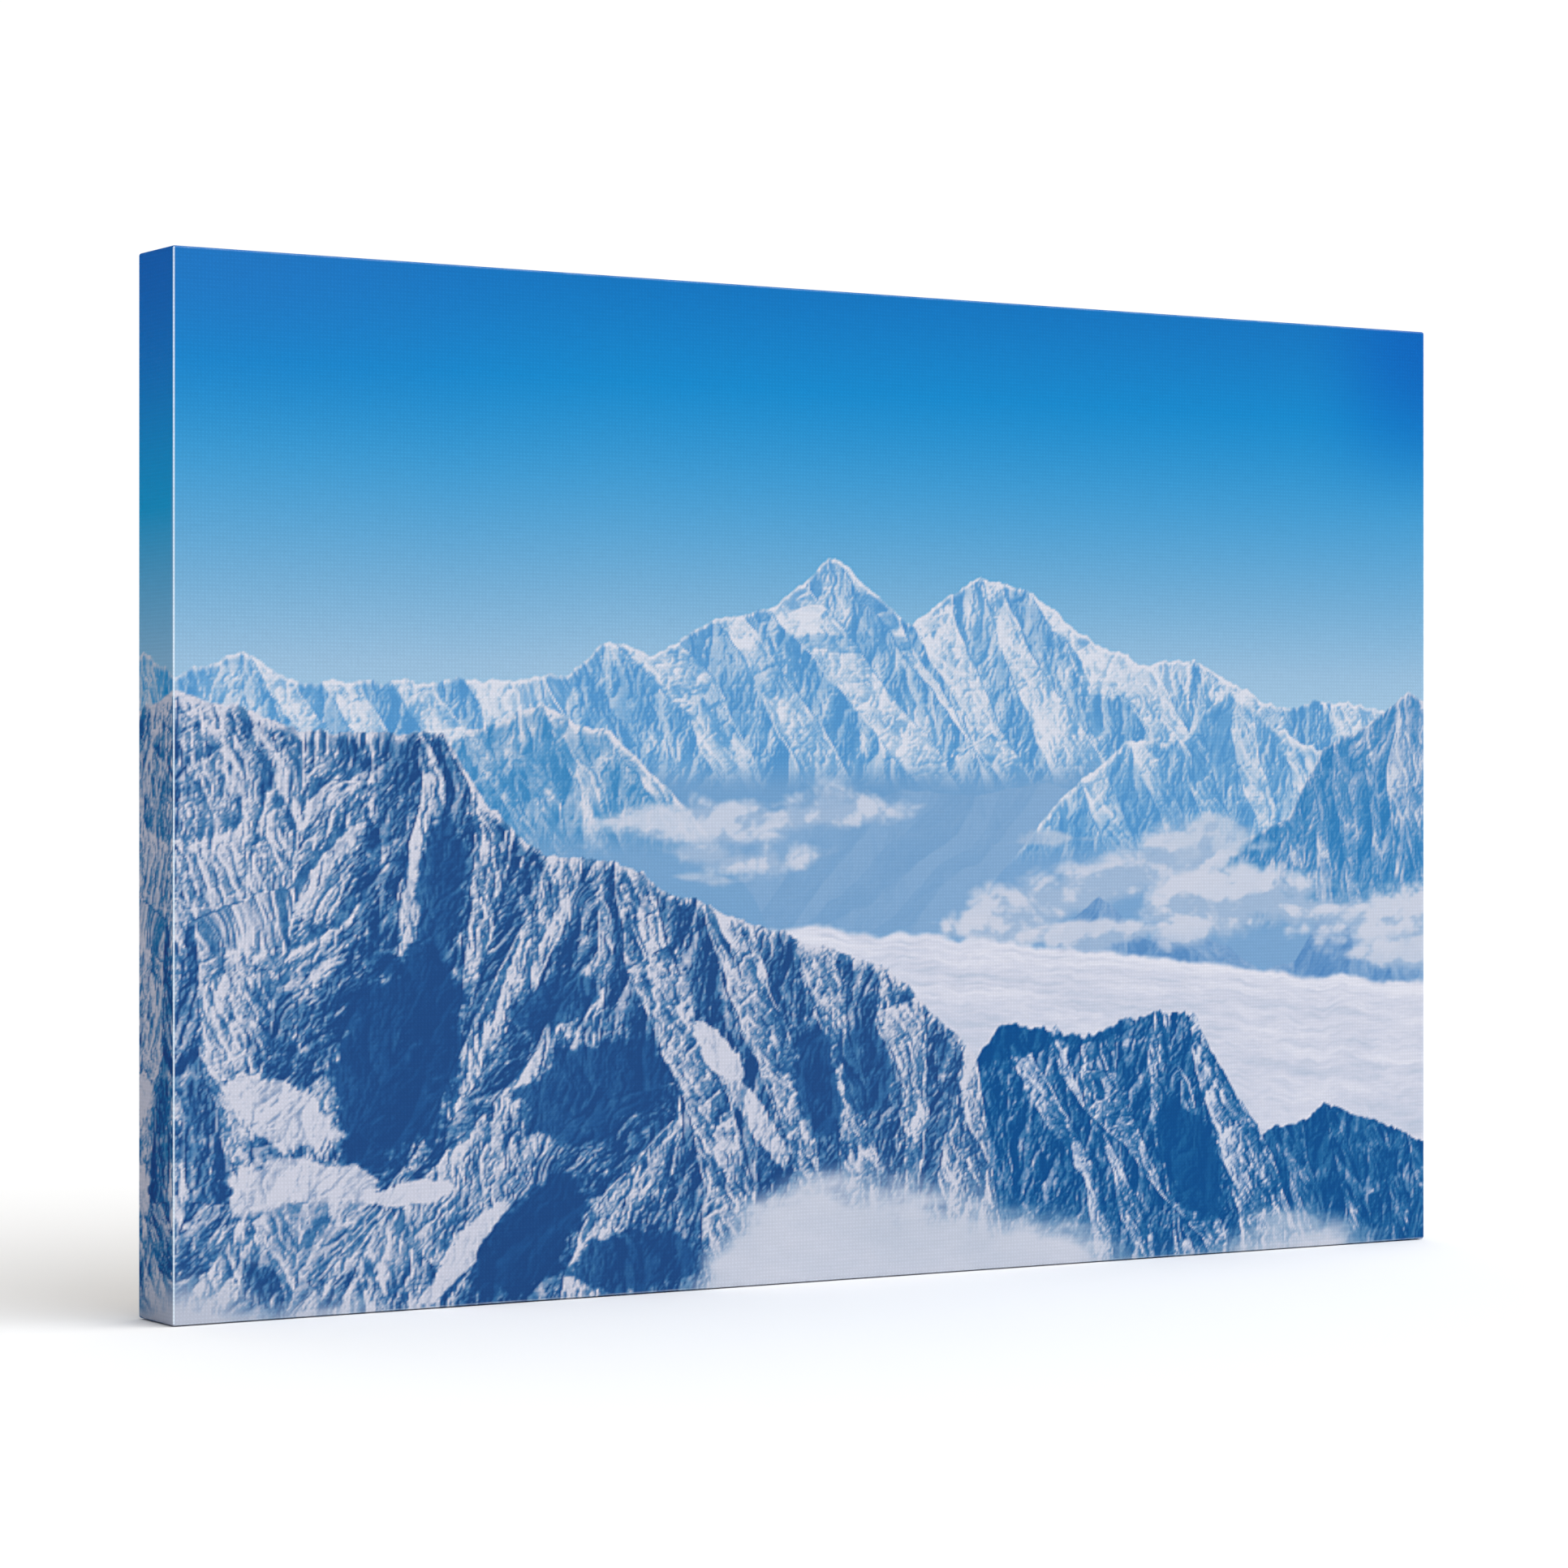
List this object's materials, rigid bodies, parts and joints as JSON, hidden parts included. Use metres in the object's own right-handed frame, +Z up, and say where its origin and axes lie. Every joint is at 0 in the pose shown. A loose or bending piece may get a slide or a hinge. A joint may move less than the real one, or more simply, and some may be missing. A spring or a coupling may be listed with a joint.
{
  "type": "stretched canvas",
  "caption": "Gallery-wrapped landscape canvas print, stapled over a keyed pine stretcher frame, with ring hangers and wall bumpers on its back.",
  "frame": {"origin": "middle of the bottom edge, halfway between the printed face and the tips of the bumpers", "axes": "+X along the width, to the right as the print is seen; -Y out of the printed face; +Z up"},
  "size_m": [0.6096, 0.036, 0.4064],
  "materials": {
    "printed_canvas": "matt coated print",
    "pine": "planed, bare",
    "birch": "sawn, bare",
    "zinc_steel": "zinc plated",
    "nickel_plate": "nickel plated",
    "rubber": "matt"
  },
  "bodies": {
    "stretched_frame": {"bumper_left": "rubber", "bumper_right": "rubber", "canvas": "printed_canvas", "hanger_screw_left": "nickel_plate", "hanger_screw_right": "nickel_plate", "hanger_strap_left": "nickel_plate", "hanger_strap_right": "nickel_plate", "staple_bottom_01": "zinc_steel", "staple_bottom_02": "zinc_steel", "staple_bottom_03": "zinc_steel", "staple_bottom_04": "zinc_steel", "staple_bottom_05": "zinc_steel", "staple_bottom_06": "zinc_steel", "staple_bottom_07": "zinc_steel", "staple_bottom_08": "zinc_steel", "staple_bottom_09": "zinc_steel", "staple_bottom_10": "zinc_steel", "staple_bottom_left_corner": "zinc_steel", "staple_bottom_right_corner": "zinc_steel", "staple_left_01": "zinc_steel", "staple_left_02": "zinc_steel", "staple_left_03": "zinc_steel", "staple_left_04": "zinc_steel", "staple_left_05": "zinc_steel", "staple_left_06": "zinc_steel", "staple_left_07": "zinc_steel", "staple_right_01": "zinc_steel", "staple_right_02": "zinc_steel", "staple_right_03": "zinc_steel", "staple_right_04": "zinc_steel", "staple_right_05": "zinc_steel", "staple_right_06": "zinc_steel", "staple_right_07": "zinc_steel", "staple_top_01": "zinc_steel", "staple_top_02": "zinc_steel", "staple_top_03": "zinc_steel", "staple_top_04": "zinc_steel", "staple_top_05": "zinc_steel", "staple_top_06": "zinc_steel", "staple_top_07": "zinc_steel", "staple_top_08": "zinc_steel", "staple_top_09": "zinc_steel", "staple_top_10": "zinc_steel", "staple_top_left_corner": "zinc_steel", "staple_top_right_corner": "zinc_steel", "stretcher_bar_bottom": "pine", "stretcher_bar_left": "pine", "stretcher_bar_right": "pine", "stretcher_bar_top": "pine"},
    "key_bottom_left_level": {"key_bottom_left_level": "birch"},
    "key_bottom_left_upright": {"key_bottom_left_upright": "birch"},
    "key_bottom_right_level": {"key_bottom_right_level": "birch"},
    "key_bottom_right_upright": {"key_bottom_right_upright": "birch"},
    "key_top_left_level": {"key_top_left_level": "birch"},
    "key_top_left_upright": {"key_top_left_upright": "birch"},
    "key_top_right_level": {"key_top_right_level": "birch"},
    "key_top_right_upright": {"key_top_right_upright": "birch"},
    "hanger_ring_left": {"hanger_ring_left": "zinc_steel"},
    "hanger_ring_right": {"hanger_ring_right": "zinc_steel"}
  },
  "joints": [
    {"name": "key_bottom_left_level_slide", "type": "slide", "parent": "stretched_frame", "child": "key_bottom_left_level", "axis": [1, 0, 0], "range_m": [0, 0.022]},
    {"name": "key_bottom_left_upright_slide", "type": "slide", "parent": "stretched_frame", "child": "key_bottom_left_upright", "axis": [0, 0, 1], "range_m": [0, 0.022]},
    {"name": "key_bottom_right_level_slide", "type": "slide", "parent": "stretched_frame", "child": "key_bottom_right_level", "axis": [-1, 0, 0], "range_m": [0, 0.022]},
    {"name": "key_bottom_right_upright_slide", "type": "slide", "parent": "stretched_frame", "child": "key_bottom_right_upright", "axis": [0, 0, 1], "range_m": [0, 0.022]},
    {"name": "key_top_left_level_slide", "type": "slide", "parent": "stretched_frame", "child": "key_top_left_level", "axis": [1, 0, 0], "range_m": [0, 0.022]},
    {"name": "key_top_left_upright_slide", "type": "slide", "parent": "stretched_frame", "child": "key_top_left_upright", "axis": [0, 0, -1], "range_m": [0, 0.022]},
    {"name": "key_top_right_level_slide", "type": "slide", "parent": "stretched_frame", "child": "key_top_right_level", "axis": [-1, 0, 0], "range_m": [0, 0.022]},
    {"name": "key_top_right_upright_slide", "type": "slide", "parent": "stretched_frame", "child": "key_top_right_upright", "axis": [0, 0, -1], "range_m": [0, 0.022]},
    {"name": "hanger_ring_left_hinge", "type": "hinge", "parent": "stretched_frame", "child": "hanger_ring_left", "pos_m": [-0.2665, 0.01542, 0.3064], "axis": [0, 0, 1], "range_deg": [-20, 175]},
    {"name": "hanger_ring_right_hinge", "type": "hinge", "parent": "stretched_frame", "child": "hanger_ring_right", "pos_m": [0.2665, 0.01542, 0.3064], "axis": [0, 0, -1], "range_deg": [-20, 175]}
  ]
}
